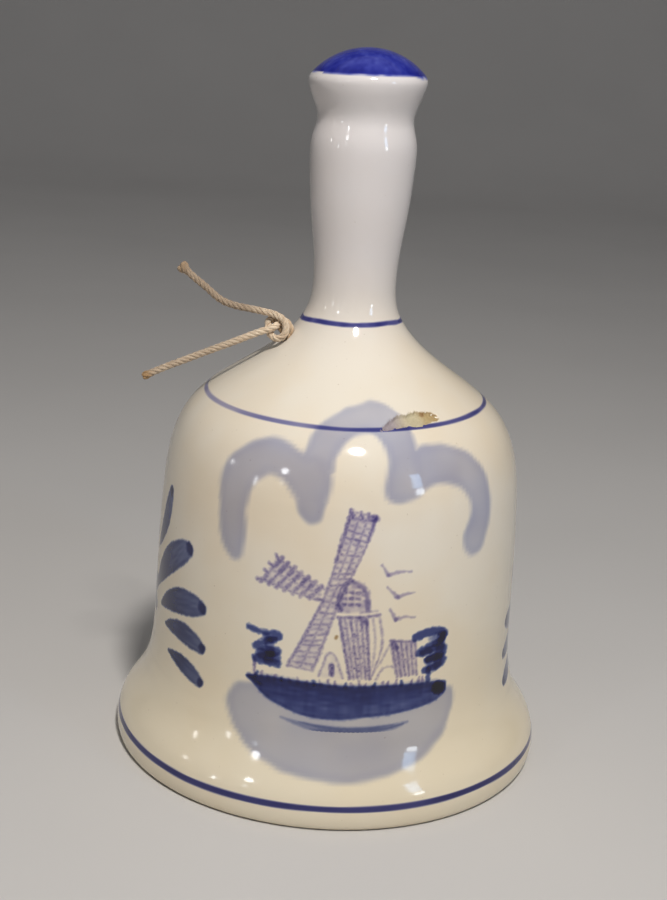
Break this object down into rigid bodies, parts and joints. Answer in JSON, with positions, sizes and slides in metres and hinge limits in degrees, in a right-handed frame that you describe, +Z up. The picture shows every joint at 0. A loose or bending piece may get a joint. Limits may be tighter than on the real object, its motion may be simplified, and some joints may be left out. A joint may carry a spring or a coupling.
{
  "type": "porcelain bell",
  "caption": "Porcelain hand bell with a flared bowl and hollow handle, and a ball clapper hung inside on a doubled cord knotted outside the shoulder.",
  "frame": {"origin": "centre of the flat foot ring, on the surface that the bell stands on", "axes": "+Z up along the bell's axis to the cap; +Y away from the painted scene; +X to the right of someone who faces the scene"},
  "size_m": [0.0842, 0.0842, 0.134],
  "materials": {
    "porcelain": "glossy clear glaze over warm ivory porcelain, with cobalt blue painting under the glaze",
    "clapper": "plain glossy glaze",
    "cord": "undyed twisted cotton twine, slightly yellowed"
  },
  "bodies": {
    "bell": {"bell_body": "porcelain", "cord_knot": "cord", "cord_throat": "cord", "cord_tail_upper": "cord", "cord_tail_lower": "cord", "cord_tip_upper": "cord", "cord_tip_lower": "cord"},
    "twine_bend": {"cord_bend": "cord"},
    "clapper": {"clapper_cord": "cord", "clapper_knot": "cord"},
    "ball": {"clapper_ball": "clapper"}
  },
  "joints": [
    {"name": "clapper_side_swing", "type": "hinge", "parent": "bell", "child": "twine_bend", "pos_m": [-0.00858, -0.0023, 0.07748], "axis": [0, 1, 0], "range_deg": [-26, 9]},
    {"name": "clapper_front_swing", "type": "hinge", "parent": "twine_bend", "child": "clapper", "pos_m": [-0.00858, -0.0023, 0.07748], "axis": [1, 0, 0], "range_deg": [-12, 16]},
    {"name": "ball_spin", "type": "hinge", "parent": "clapper", "child": "ball", "pos_m": [-0.00858, -0.0023, 0.0165], "axis": [0, 0, 1], "continuous": true}
  ]
}
